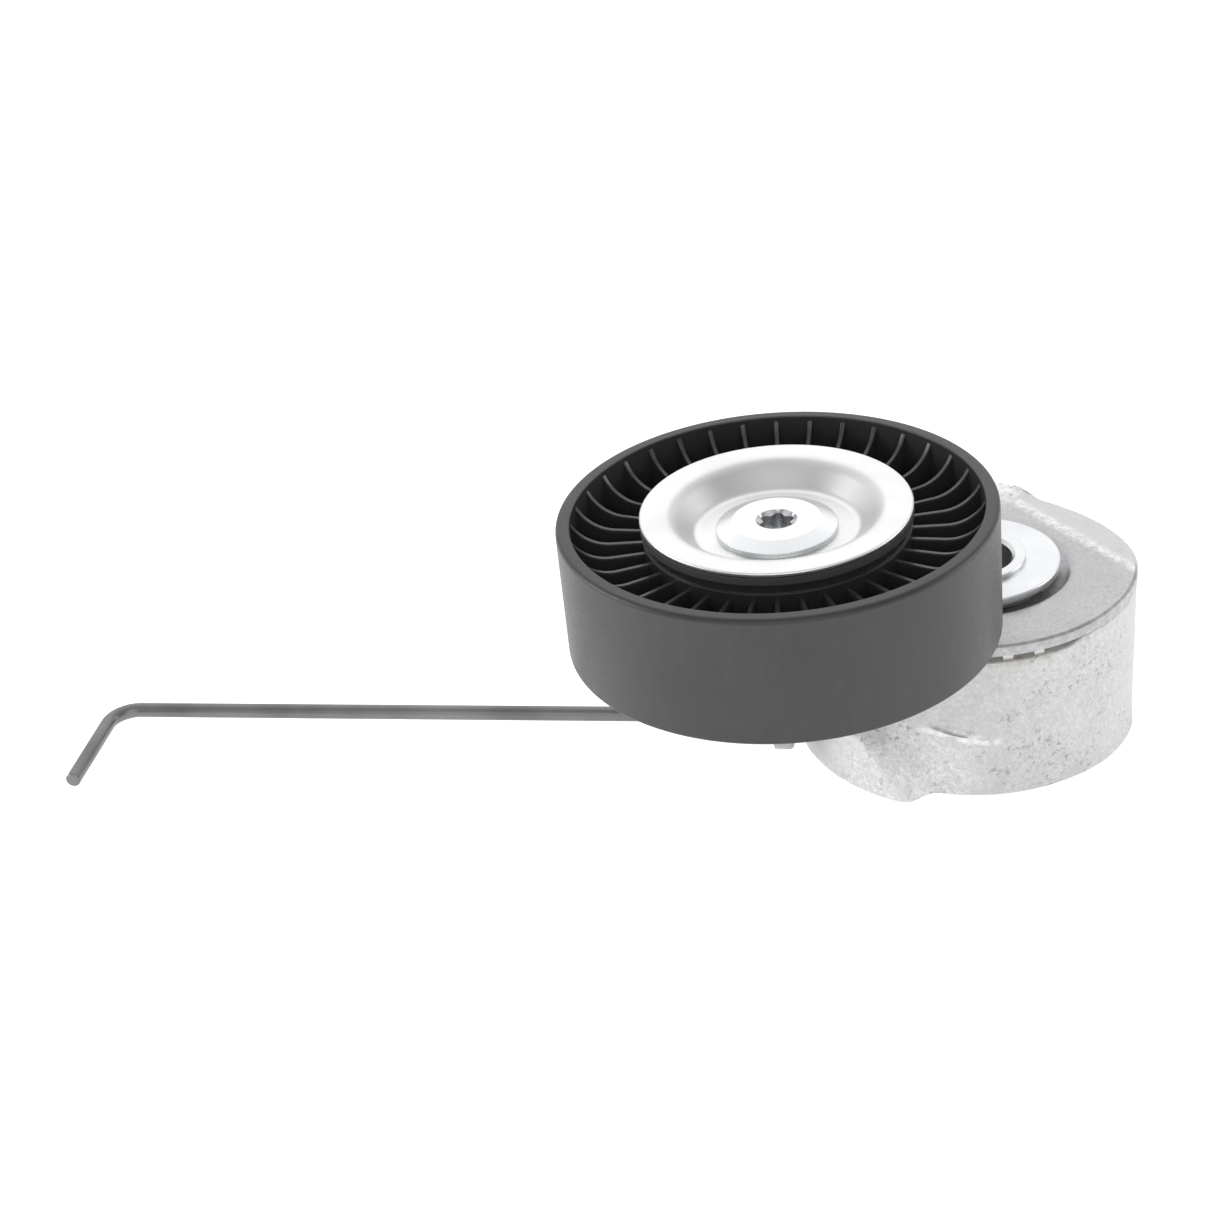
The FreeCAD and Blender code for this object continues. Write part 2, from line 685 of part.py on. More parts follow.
def ball(name, number, radius):
    """One of the balls, or a sphere round it, in its place on the pitch circle."""
    sphere = doc.addObject("Part::Sphere", "%s_%d" % (name, number))
    bind(sphere, Radius=radius)
    x, y = polar("Size.ball_pitch", str(360.0 * number / BALLS))
    return place(sphere, x, y, BEARING_MIDDLE)


def rivet(name, number):
    """One of the cage's rivets, halfway between two balls."""
    x, y = polar("Size.ball_pitch", str(360.0 * (number + 0.5) / BALLS))
    return cylinder("%s_%d" % (name, number), "Size.rivet_radius", "2 * Size.cage_sheet",
                    BEARING_MIDDLE + " - Size.cage_sheet", x, y)


def compound(name, shapes):
    """Separate solids kept together as one sub-part."""
    group = doc.addObject("Part::Compound", name + "_group")
    group.Links = shapes
    return group


# ---------------------------------------------------------------- cap, bolt, shield and pin


def make_cap_and_bolt():
    """Dished steel cap, low-head bolt with a six-lobe drive, and the shield behind the bearing."""
    cap_underside = CAP_TOP + " - Size.cap_sheet"
    cap = turned_part("dust_cap", [
        ("Size.cap_hole", BEARING_TOP),
        ("Size.cap_floor_radius + Size.cap_edge", BEARING_TOP),
        ("Size.cap_ring_inner + Size.cap_edge", cap_underside),
        ("Size.cap_radius", cap_underside),
        ("Size.cap_radius", CAP_TOP + " - Size.cap_edge"),
        ("Size.cap_radius - Size.cap_edge", CAP_TOP),
        ("Size.cap_ring_inner", CAP_TOP),
        ("Size.cap_ring_inner - Size.cap_edge", CAP_TOP + " - Size.cap_edge"),
        ("Size.cap_floor_radius", BOLT_SEAT),
        ("Size.cap_hole", BOLT_SEAT),
    ])
    place_on_arm(cap)
    mouth_floor = HEAD_TOP + " - Size.drive_mouth_depth"
    bolt = turned_part("pulley_bolt", [
        ("0", "Size.bolt_end"),
        ("Size.bolt_radius", "Size.bolt_end"),
        ("Size.bolt_radius", BOLT_SEAT),
        ("Size.bolt_head_radius", BOLT_SEAT),
        ("Size.bolt_head_radius", BOLT_SEAT + " + Size.bolt_head_edge"),
        ("Size.bolt_face_radius", HEAD_TOP),
        ("Size.drive_mouth", HEAD_TOP),
        ("Size.drive_mouth - Size.drive_mouth_depth", mouth_floor),
        ("0", mouth_floor),
    ])
    drive_bottom = HEAD_TOP + " - Size.drive_depth"
    core = primitive(bolt, "SubtractiveCylinder", "drive_core", Radius="Size.drive_core",
                     Height="Size.drive_depth + 1")
    place(core, z=drive_bottom)
    lobe = primitive(bolt, "SubtractiveCylinder", "drive_lobe", Radius="Size.drive_lobe",
                     Height="Size.drive_depth + 1")
    place(lobe, *polar("Size.drive_tip - Size.drive_lobe", "Size.drive_turn"), drive_bottom)
    polar_pattern(bolt, "drive_lobes", [lobe], DRIVE_LOBES)
    place_on_arm(bolt)
    dish = "Size.boss_top + (Size.bearing_bottom - Size.boss_top) / 2"
    shield = turned_part("rear_dust_shield", [
        ("Size.bearing_bore", "Size.boss_top"),
        ("Size.hub_lip - Size.gap", "Size.boss_top"),
        ("Size.hub_lip - Size.gap", dish),
        ("Size.inner_ring_land", dish),
        ("Size.inner_ring_land", "Size.bearing_bottom"),
        ("Size.bearing_bore", "Size.bearing_bottom"),
    ])
    place_on_arm(shield)


def make_locking_pin():
    """Long bent wire: a straight run, a right-angle bend and a short leg."""
    bend_start = "-Size.pin_corner + Size.pin_bend"
    bend_offset = "Size.pin_offset + Size.pin_bend"
    run = cylinder("pin_run", "Size.pin_radius", "Size.pin_corner - Size.pin_tip - Size.pin_bend")
    place_on_pin_line(run, bend_start)
    bend = doc.addObject("Part::Torus", "pin_bend")
    bind(bend, Radius1="Size.pin_bend", Radius2="Size.pin_radius", Angle3="90")
    place(bend, *pin_point(bend_start, bend_offset), "Size.pin_height", PIN_HEADING + " + 90")
    leg = cylinder("pin_leg", "Size.pin_radius", "Size.pin_leg - Size.pin_bend")
    leg_start = pin_point("-Size.pin_corner", bend_offset)
    place(leg, *leg_start, "Size.pin_height", PIN_HEADING + " - 90", "90")
    keep("locking_pin", joined("MultiFuse", "locking_pin", [run, bend, leg]))


# ---------------------------------------------------------------- build, check and write

make_base()
make_pivot()
make_spring()
make_arm()
make_pulley()
make_bearing()
make_cap_and_bolt()
make_locking_pin()
doc.recompute()

for thing in doc.Objects:
    if "Invalid" in thing.State or "Error" in thing.State:
        raise RuntimeError("%s did not build: %s" % (thing.Label, thing.State))
for label, part in parts.items():
    if part.Shape.isNull() or not part.Shape.isValid() or not part.Shape.Solids:
        raise RuntimeError("%s has no valid solid" % label)

os.makedirs("parts", exist_ok=True)
for label, part in parts.items():
    part.Shape.exportStep("parts/%s.step" % label)
    print("%-20s %2d solids %10.1f mm3" % (label, len(part.Shape.Solids), part.Shape.Volume))
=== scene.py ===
"""A belt tensioner idler on a pale studio floor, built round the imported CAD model.

Blender's objects are in metres, in the model's own frame. Sizes in this script are in millimetres.
"""

import json
import math

import bmesh
import bpy
from mathutils import Matrix, Vector, noise


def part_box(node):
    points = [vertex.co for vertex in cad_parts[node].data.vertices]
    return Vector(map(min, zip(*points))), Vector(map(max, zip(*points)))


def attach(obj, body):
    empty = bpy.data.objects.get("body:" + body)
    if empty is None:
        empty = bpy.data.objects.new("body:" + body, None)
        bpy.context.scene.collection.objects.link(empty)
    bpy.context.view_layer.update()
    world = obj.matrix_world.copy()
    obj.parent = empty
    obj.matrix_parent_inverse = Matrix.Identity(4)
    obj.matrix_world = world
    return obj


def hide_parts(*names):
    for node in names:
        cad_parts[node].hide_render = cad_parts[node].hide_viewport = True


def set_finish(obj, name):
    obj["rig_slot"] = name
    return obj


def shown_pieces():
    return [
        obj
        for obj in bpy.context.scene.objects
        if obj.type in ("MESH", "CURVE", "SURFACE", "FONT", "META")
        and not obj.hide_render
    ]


MM = 0.001
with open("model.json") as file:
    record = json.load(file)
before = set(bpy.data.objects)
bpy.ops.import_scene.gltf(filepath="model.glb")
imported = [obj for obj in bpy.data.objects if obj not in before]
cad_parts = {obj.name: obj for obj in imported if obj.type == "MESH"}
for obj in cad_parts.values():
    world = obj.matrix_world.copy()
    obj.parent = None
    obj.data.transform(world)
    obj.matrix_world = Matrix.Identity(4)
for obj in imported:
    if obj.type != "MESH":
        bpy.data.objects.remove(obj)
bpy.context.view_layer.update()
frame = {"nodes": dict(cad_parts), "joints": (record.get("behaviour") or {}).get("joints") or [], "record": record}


# ------------------------------------------------------------------ sizes taken from the frame


def round_size(node):
    """Radius, foot and top of an upright round node. The radius is half the width along Y,
    where the base has no lug."""
    low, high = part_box(node)
    return round((high.y - low.y) / 2 / MM, 1), round(low.z / MM, 2), round(high.z / MM, 2)


def joint(name):
    return next(row for row in frame["joints"] if row["name"] == name)


SPIN_X, SPIN_Y = joint("pulley_spin")["pos_m"][:2]
ARM_LENGTH = round(math.hypot(SPIN_X, SPIN_Y) / MM, 1)
ARM_HEADING = round(math.degrees(math.atan2(SPIN_Y, SPIN_X)) % 360, 1)
PULLEY = (ARM_LENGTH * math.cos(math.radians(ARM_HEADING)), ARM_LENGTH * math.sin(math.radians(ARM_HEADING)))
PULLEY_RADIUS, PULLEY_FOOT, PULLEY_TOP = round_size("pulley")
BEARING_RADIUS, BEARING_FOOT, BEARING_TOP = round_size("bearing_outer_ring")
CAP_RADIUS, CAP_FOOT, CAP_TOP = round_size("dust_cap")
HEAD_RADIUS, BOLT_END, HEAD_TOP = round_size("pulley_bolt")
WASHER_RADIUS, WASHER_FOOT, WASHER_TOP = round_size("pivot_washer")
FLANGE_RADIUS, TUBE_FOOT, TUBE_TOP = round_size("pivot_tube")
RIM_RADIUS, _, BASE_TOP = round_size("base_housing")
SLEEVE_RADIUS, SLEEVE_FOOT, PLATE_FOOT = round_size("arm_sleeve")
SKIRT_RADIUS, SKIRT_FOOT = round_size("arm_skirt")[:2]
HUB_RADIUS = round(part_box("tensioner_arm")[1].x / MM, 1)

PIN_AXIS = joint("pin_pull")["axis"]
PIN_HEADING = math.radians(round(math.degrees(math.atan2(-PIN_AXIS[1], -PIN_AXIS[0])), 2))
PIN_LOW, PIN_HIGH = round_size("locking_pin")[1:]
PIN_RADIUS, PIN_HEIGHT = (PIN_HIGH - PIN_LOW) / 2, (PIN_HIGH + PIN_LOW) / 2


# ------------------------------------------------------------------ the other sizes, in millimetres

RIM_INSIDE = 37.3
WEB_BOTTOM, WEB_TOP = 51.5, 54.5
BARREL_RADIUS, LIP_RADIUS = 24.8, 18.7
RIBS, RIB_PHASE = 36, math.radians(3.2)
RIB_FLAT, RIB_KNEE = 59.8, 30.4

TUBE_RADIUS, BORE_RADIUS = 9.5, 7.6
FOOT_RADIUS, CUP_RADIUS, CUP_FLOOR = 30.8, 28.0, 5.0
BOSS_RADIUS, BOSS_TOP = 13.0, 14.0
LUG_RADIUS, LUG_ROOT = 36.3, 30.95
LUG_START, LUG_END = 176.0, 235.5

HUB_TOP, HUB_SIDE = 34.0, 31.65
RECESS_RADIUS, RECESS_FLOOR = 19.2, 31.0
FACET_X, FACET_Y = math.cos(math.radians(27)), math.sin(math.radians(27))
FACET_DISTANCE, FACET_SLOPE = 22.7, math.tan(math.radians(12))
LUMP_BULGE, LUMP_RISE = 1.35, 1.3
BEAM_BOTTOM, BEAM_TOP = 31.7, 38.9

PIN_OFFSET, PIN_CORNER, PIN_TIP, PIN_LEG, PIN_BEND = 17.3, 177.2, 32.8, 26.0, 5.5


# ------------------------------------------------------------------ mesh helpers


def mesh_piece(name, points, faces, body, slot, replaced=()):
    """A smooth-shaded mesh from points in millimetres, riding on a body of the frame."""
    mesh = bpy.data.meshes.new(name)
    mesh.from_pydata([tuple(c * MM for c in p) for p in points], [], faces)
    mesh.validate()
    mesh.polygons.foreach_set("use_smooth", [True] * len(mesh.polygons))
    piece = bpy.data.objects.new(name, mesh)
    bpy.context.scene.collection.objects.link(piece)
    mesh.update()
    even_normals(piece)
    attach(piece, body)
    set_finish(piece, slot)
    if replaced:
        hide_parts(*replaced)
    return piece


def polar(distance, degrees, z=0.0):
    a = math.radians(degrees)
    return distance * math.cos(a), distance * math.sin(a), z


def even_normals(piece):
    """Shades a piece smoothly, but for its sharp edges."""
    piece.data.set_sharp_from_angle(angle=math.radians(40))
    modifier = piece.modifiers.new("even_normals", "WEIGHTED_NORMAL")
    modifier.keep_sharp = True


def applied(piece):
    """Replaces an object's mesh by what its modifiers make of it."""
    depsgraph = bpy.context.evaluated_depsgraph_get()
    shaped = bpy.data.meshes.new_from_object(piece.evaluated_get(depsgraph))
    piece.modifiers.clear()
    piece.data = shaped
    shaped.polygons.foreach_set("use_smooth", [True] * len(shaped.polygons))


def combined(piece, tool, operation):
    """Joins a piece with a tool object, or cuts the tool out of it, and deletes the tool."""
    piece.modifiers.clear()
    boolean = piece.modifiers.new("combined", "BOOLEAN")
    boolean.operation = operation
    boolean.object = tool
    boolean.solver = "EXACT"
    applied(piece)
    even_normals(piece)
    bpy.data.objects.remove(tool)


def drilled(piece, start, end, radius):
    """Cuts a round hole between two points in millimetres."""
    start, end = Vector(start) * MM, Vector(end) * MM
    turn = (end - start).to_track_quat("Z", "Y").to_matrix().to_4x4()
    shape = bmesh.new()
    bmesh.ops.create_cone(
        shape, cap_ends=True, segments=48, radius1=radius * MM, radius2=radius * MM,
        depth=(end - start).length, matrix=Matrix.Translation((start + end) / 2) @ turn)
    mesh = bpy.data.meshes.new("drill")
    shape.to_mesh(mesh)
    shape.free()
    drill = bpy.data.objects.new("drill", mesh)
    bpy.context.scene.collection.objects.link(drill)
    combined(piece, drill, "DIFFERENCE")


def rounded(corners, steps=5):
    """A closed outline of (r, z, fillet radius) corners, with each corner turned into an arc."""
    out = []
    count = len(corners)
    for i, (r, z, radius) in enumerate(corners):
        here = Vector((r, z))
        if radius <= 0:
            out.append((r, z))
            continue
        before = Vector(corners[i - 1][:2]) - here
        after = Vector(corners[(i + 1) % count][:2]) - here
        half = before.angle(after) / 2
        reach = min(radius / math.tan(half), before.length * 0.49, after.length * 0.49)
        a = here + before.normalized() * reach
        b = here + after.normalized() * reach
        for s in range(steps + 1):
            t = s / steps
            p = a * (1 - t) ** 2 + here * 2 * t * (1 - t) + b * t * t
            out.append((p.x, p.y))
    return out


def turned(outline, centre=(0.0, 0.0), segments=192, wave=None):
    """Points and faces of a closed outline turned about a vertical axis.
    wave(heading, r, z) may move each point and returns its own (r, z)."""
    points, faces = [], []
    count = len(outline)
    for k in range(segments):
        heading = 2 * math.pi * k / segments
        c, s = math.cos(heading), math.sin(heading)
        for r, z in outline:
            if wave:
                r, z = wave(heading, r, z)
            points.append((centre[0] + r * c, centre[1] + r * s, z))
    for k in range(segments):
        a, b = k * count, (k + 1) % segments * count
        for i in range(count):
            j = (i + 1) % count
            faces.append((a + i, b + i, b + j, a + j))
    return points, faces


def turned_piece(name, corners, centre, body, slot, replaced, segments=192, steps=5, wave=None):
    points, faces = turned(rounded(corners, steps)[::-1], centre, segments, wave)
    return mesh_piece(name, points, faces, body, slot, replaced)


def skin(first, rows, count):
    """Faces round a closed tube of rows of points, each a loop of count points, with both ends."""
    faces = []
    for row in range(rows - 1):
        a = first + row * count
        b = a + count
        for i in range(count):
            j = (i + 1) % count
            faces.append((a + i, a + j, b + j, b + i))
    faces.append(tuple(range(first, first + count))[::-1])
    faces.append(tuple(range(first + (rows - 1) * count, first + rows * count)))
    return faces


# ------------------------------------------------------------------ materials


class Nodes:
    """Short names for the nodes of a tree."""

    def __init__(self, tree):
        self.tree = tree

    def add(self, kind, **settings):
        node = self.tree.nodes.new(kind)
        for key, value in settings.items():
            setattr(node, key, value)
        return node

    def join(self, out, socket):
        self.tree.links.new(out, socket)

    def maths(self, operation, a, b):
        node = self.add("ShaderNodeMath", operation=operation)
        for socket, value in zip(node.inputs, (a, b)):
            if isinstance(value, (int, float)):
                socket.default_value = value
            else:
                self.join(value, socket)
        return node.outputs["Value"]

    def both(self, a, b):
        return self.maths("MULTIPLY", a, b)

    def span(self, value, low, high, out_low, out_high):
        """out_low where the value is at low, going smoothly to out_high at high."""
        node = self.add("ShaderNodeMapRange", interpolation_type="SMOOTHSTEP")
        for socket, number in zip(list(node.inputs)[1:5], (low, high, out_low, out_high)):
            socket.default_value = number
        self.join(value, node.inputs["Value"])
        return node.outputs["Result"]

    def fade(self, length, start, end, most=1.0):
        """0 where a length is at start, growing to most at end, both in millimetres."""
        return self.span(length, start * MM, end * MM, 0.0, most)


class Graph(Nodes):
    """Short names for the nodes of one material."""

    def __init__(self, name):
        self.material = bpy.data.materials.new(name)
        self.material.use_nodes = True
        super().__init__(self.material.node_tree)
        self.shader = self.tree.nodes["Principled BSDF"]
        self.place = self.add("ShaderNodeTexCoord").outputs["Object"]

    def set(self, **values):
        for key, value in values.items():
            self.shader.inputs[key.replace("_", " ")].default_value = value

    def drive(self, key, out):
        self.join(out, self.shader.inputs[key.replace("_", " ")])

    def noise(self, scale, detail=4.0, rough=0.55, stretch=None, distortion=0.0):
        node = self.add("ShaderNodeTexNoise")
        node.inputs["Scale"].default_value = scale
        node.inputs["Detail"].default_value = detail
        node.inputs["Roughness"].default_value = rough
        node.inputs["Distortion"].default_value = distortion
        self.join(self.stretched(stretch), node.inputs["Vector"])
        return node.outputs["Fac"]

    def stretched(self, stretch):
        if stretch is None:
            return self.place
        node = self.add("ShaderNodeMapping")
        node.inputs["Scale"].default_value = stretch
        self.join(self.place, node.inputs["Vector"])
        return node.outputs["Vector"]

    def ramp(self, value, low, high):
        """Black up to low, going to white at high."""
        node = self.add("ShaderNodeValToRGB")
        for element, position, grey in zip(node.color_ramp.elements, (low, high), (0.0, 1.0)):
            element.position = position
            element.color = (grey, grey, grey, 1)
        self.join(value, node.inputs["Fac"])
        return node.outputs["Color"]

    def vector(self, operation, a, b):
        node = self.add("ShaderNodeVectorMath", operation=operation)
        self.join(a, node.inputs[0])
        node.inputs[1].default_value = b
        return node.outputs["Value" if operation in ("DOT_PRODUCT", "DISTANCE") else "Vector"]

    def distance(self, point, flat=1.0):
        """Distance from a point in millimetres, with heights counted flat times over."""
        x, y, z = (c * MM for c in point)
        return self.vector("DISTANCE", self.vector("MULTIPLY", self.place, (1, 1, flat)), (x, y, z * flat))

    def radius(self, x, y):
        """Distance from the vertical axis through a point in millimetres."""
        return self.distance((x, y, 0.0), 0.0)

    def height(self):
        node = self.add("ShaderNodeSeparateXYZ")
        self.join(self.place, node.inputs["Vector"])
        return node.outputs["Z"]

    def mix(self, factor, a, b):
        """Each colour is a socket, a grey or (r, g, b)."""
        node = self.add("ShaderNodeMix", data_type="RGBA", blend_type="MIX")
        sockets = {s.identifier: s for s in node.inputs}
        for key, value in (("Factor_Float", factor), ("A_Color", a), ("B_Color", b)):
            socket = sockets[key]
            if isinstance(value, (int, float)):
                socket.default_value = value if key == "Factor_Float" else (value, value, value, 1)
            elif isinstance(value, tuple):
                socket.default_value = (*value, 1)
            else:
                self.join(value, socket)
        return next(o for o in node.outputs if o.identifier == "Result_Color")

    def bump(self, *layers):
        """layers are (height, distance in millimetres)."""
        normal = None
        for height, distance in layers:
            node = self.add("ShaderNodeBump")
            node.inputs["Strength"].default_value = 1.0
            node.inputs["Distance"].default_value = distance * MM
            self.join(height, node.inputs["Height"])
            if normal:
                self.join(normal, node.inputs["Normal"])
            normal = node.outputs["Normal"]
        self.drive("Normal", normal)


def times(colour, factor):
    return tuple(min(c * factor, 1) for c in colour)


def polymer(name, dark, light, roughness):
    g = Graph(name)
    clouds = g.noise(60, 3)
    fine = g.noise(900, 2)
    g.drive("Base_Color", g.mix(g.ramp(clouds, 0.35, 0.65), dark, light))
    g.drive("Roughness", g.span(fine, 0.3, 0.7, roughness - 0.05, roughness + 0.05))
    g.bump((fine, 0.005))
    return g.material


def nylon(name):
    """Black moulded nylon: greyer and duller where the belt runs, blacker and shinier between the ribs, where the
    black is also painted shade in the ribbed pockets.
    """
    g = Graph(name)
    radius, height = g.radius(*PULLEY), g.height()
    outer = g.fade(radius, RIM_INSIDE - 0.1, RIM_INSIDE + 0.3)
    # The hub's strip under the cap: duller, and painted lighter grey to stand in for the front light on it.
    hub_strip_painted_light = g.both(g.fade(radius, BARREL_RADIUS + 0.1, BARREL_RADIUS), g.fade(height, 62.6, 62.9))
    # Painted shade: a darker line along the rim's top outer edge.
    edge = g.both(g.fade(radius, PULLEY_RADIUS - 0.8, PULLEY_RADIUS - 0.5),
                  g.fade(height, PULLEY_TOP - 1.1, PULLEY_TOP - 0.8, 0.8))
    clouds = g.noise(45, 4, 0.55)
    fine = g.noise(1500, 2)
    scuffs = g.noise(500, 3, 0.6, (1.0, 1.0, 0.3))
    worn_and_edge_shade = g.mix(g.ramp(clouds, 0.35, 0.65), 0.035, 0.041)
    worn_and_edge_shade = g.mix(g.span(scuffs, 0.45, 0.8, 0.0, 0.12), worn_and_edge_shade, 0.085)
    worn_and_edge_shade = g.mix(edge, worn_and_edge_shade, 0.018)
    # Between the ribs: blacker nylon that the belt never touches, and painted shade in the ribbed pockets.
    fresh_and_pocket_shade = g.mix(hub_strip_painted_light, g.mix(clouds, 0.027, 0.033), 0.05)
    g.drive("Base_Color", g.mix(outer, fresh_and_pocket_shade, worn_and_edge_shade))
    dull = g.maths("ADD", g.both(outer, 0.1), g.both(hub_strip_painted_light, 0.35))
    g.drive("Roughness", g.maths("ADD", g.span(fine, 0.3, 0.7, 0.27, 0.35), dull))
    g.drive("Specular_IOR_Level", g.span(outer, 0.0, 1.0, 0.7, 0.5))
    g.bump((fine, 0.0007))
    return g.material


def metal(name, dark, light, roughness, grain=350.0, depth=0.0007, shade=None):
    """Plated or plain steel. shade is (inner radius, outer radius, softness, factor): painted shade between two
    radii round the pulley's axis."""
    g = Graph(name)
    clouds = g.noise(70, 3, 0.5)
    fine = g.noise(grain, 3, 0.6)
    g.set(Metallic=1.0)
    colour = g.mix(g.ramp(clouds, 0.35, 0.68), dark, light)
    if shade:
        inner, outer, soft, factor = shade
        radius = g.radius(*PULLEY)
        painted_shade_zone = g.both(g.fade(radius, outer + soft, outer - soft), g.fade(radius, inner - 0.3, inner + 0.3))
        colour = g.mix(painted_shade_zone, colour, times(dark, factor))
    g.drive("Base_Color", colour)
    g.drive("Roughness", g.span(fine, 0.25, 0.75, roughness - 0.04, roughness + 0.06))
    g.bump((fine, depth))
    return g.material


def cast(name, tone, metallic, roughness, marked, highlight):
    """Die-cast aluminium: mottled flow patches, a fine grain and clusters of small dark pits.
    marked is how many marks it has, and highlight(graph, colour, mottle) paints highlights and shade, and a stain,
    on chosen places."""
    g = Graph(name)
    g.set(Metallic=metallic)
    flow = g.noise(70, 6, 0.62, (1.0, 1.0, 0.6), distortion=1.2)
    mottle = g.noise(420, 7, 0.75, distortion=0.6)
    fine = g.noise(1500, 3, 0.65)
    clusters = g.noise(85, 3, 0.55, distortion=0.4)
    pits = g.noise(1000, 4, 0.65, distortion=0.6)
    smears = g.noise(240, 5, 0.65, (1.0, 1.0, 2.4), distortion=1.5)
    speckle = g.noise(1300, 5, 0.7)
    scars = g.noise(560, 5, 0.7, distortion=1.6)

    colour = g.mix(g.span(flow, 0.36, 0.64, 0.0, 1.0), times(tone, 0.93), tone)
    colour = g.mix(g.span(mottle, 0.4, 0.64, 0.0, 0.6), colour, times(tone, 1.15))
    colour = g.mix(g.span(mottle, 0.46, 0.3, 0.0, 0.55 * marked), colour, times(tone, 0.72))
    colour = g.mix(g.span(speckle, 0.4, 0.62, 0.45, 0.0), colour, times(tone, 0.72))
    near = g.span(clusters, 0.48, 0.6, 0.03, 1.0)
    holes = g.both(g.span(pits, 0.44, 0.36, 0.0, 0.75 * marked), near)
    stains = g.both(g.span(smears, 0.4, 0.32, 0.0, 0.6 * marked), near)
    dents = g.span(scars, 0.36, 0.3, 0.0, 0.4 * marked)
    marks = g.maths("MAXIMUM", g.maths("MAXIMUM", holes, stains), dents)
    colour = g.mix(marks, highlight(g, colour, mottle), times(tone, 0.42))

    g.drive("Base_Color", colour)
    g.drive("Roughness", g.span(mottle, 0.3, 0.7, roughness - 0.09, roughness + 0.09))
    g.bump((flow, 0.1), (mottle, 0.035), (g.both(marks, -1.0), 0.03), (fine, 0.007))
    return g.material


def base_highlight(g, colour, mottle):
    """A painted highlight along the lug's ridge, painted shadow in a dark line under the ridge's lip, painted
    light and speckled skin on the lug's side, and the brown line that the seam has left below the window."""
    # Painted highlight along the lug's ridge.
    ridge = 0.0
    patches = ((243.0, 14.6, 3.0), (250.0, 14.4, 4.0), (258.0, 13.2, 4.5), (264.0, 12.6, 3.5))
    for heading, height, reach in patches:
        away = g.distance(polar(32.2, heading, height), 3.0)
        ridge = g.maths("MAXIMUM", ridge, g.fade(away, reach, 0.4 * reach))
    colour = g.mix(g.both(ridge, g.span(mottle, 0.35, 0.55, 0.15, 0.75)), colour, (0.95, 0.95, 0.94))

    # Painted shadow: a dark line under the lip at the ridge's foot.
    along = g.vector("DOT_PRODUCT", g.place, (0.233, -0.076, 1.0))
    lip_painted_shadow = g.both(g.fade(along, 14.25, 14.45), g.fade(along, 14.8, 14.6))
    lip_painted_shadow = g.both(lip_painted_shadow, g.fade(g.radius(*polar(31.8, 252.5)[:2]), 3.0, 1.8, 0.8))
    colour = g.mix(lip_painted_shadow, colour, (0.2, 0.2, 0.195))

    # The lug's side: light and dark speckles of rough skin, and painted light that lifts it out of the pulley's
    # shadow.
    side = g.fade(g.distance(polar(33.5, 236.0, 5.0), 1.4), 18.0, 9.0)
    speck = g.noise(1000, 4, 0.7, distortion=1.0)
    colour = g.mix(g.both(side, g.span(speck, 0.5, 0.62, 0.25, 0.8)), colour, (0.88, 0.88, 0.87))
    colour = g.mix(g.both(side, g.span(speck, 0.42, 0.34, 0.0, 0.5)), colour, (0.36, 0.36, 0.35))

    seam = g.fade(g.distance(polar(31.4, 274.0, 30.1), 9.0), 10.0, 5.0, 0.6)
    return g.mix(g.both(seam, g.span(mottle, 0.62, 0.42, 0.0, 1.0)), colour, (0.42, 0.39, 0.34))


def arm_highlight(g, colour, mottle):
    """The paler facet, a painted highlight on its crest, a painted dark reflection along the top edge,
    the mottled side and a painted highlight on the rough lump.
    """
    beyond = g.vector("DOT_PRODUCT", g.place, (FACET_X, FACET_Y, 0))
    radius, height = g.radius(0, 0), g.height()
    facet = g.fade(beyond, FACET_DISTANCE - 0.4, FACET_DISTANCE + 0.6, 0.42)
    colour = g.mix(facet, colour, (0.82, 0.82, 0.825))

    # Painted highlight along the facet's crest, broken up by noise.
    highlight_breakup = g.noise(900, 5, 0.7, (1.0, 1.0, 1.0), distortion=0.4)
    crest = g.both(g.fade(beyond, FACET_DISTANCE - 2.2, FACET_DISTANCE - 0.2),
                   g.fade(beyond, FACET_DISTANCE + 2.4, FACET_DISTANCE + 0.3))
    colour = g.mix(g.both(crest, g.span(highlight_breakup, 0.4, 0.62, 0.15, 0.85)), colour, (0.95, 0.94, 0.95))

    # Painted dark reflection along the rounded top edge.
    edge = g.both(g.fade(radius, 30.9, 31.2), g.fade(height, 33.5, 33.75))
    colour = g.mix(g.both(edge, g.span(mottle, 0.35, 0.6, 0.75, 0.45)), colour, 0.2)
    side = g.both(g.fade(radius, 31.4, 31.6), g.fade(height, 33.7, 33.4))
    colour = g.mix(g.both(side, g.span(mottle, 0.62, 0.42, 0.05, 0.5)), colour, 0.3)

    # The rough lump: lighter, with a painted highlight.
    lump = g.fade(g.distance(polar(33.0, 77.0, 35.3)), 11.0, 7.0)
    return g.mix(g.both(lump, g.span(mottle, 0.4, 0.55, 0.3, 1.0)), colour, (0.96, 0.95, 0.955))


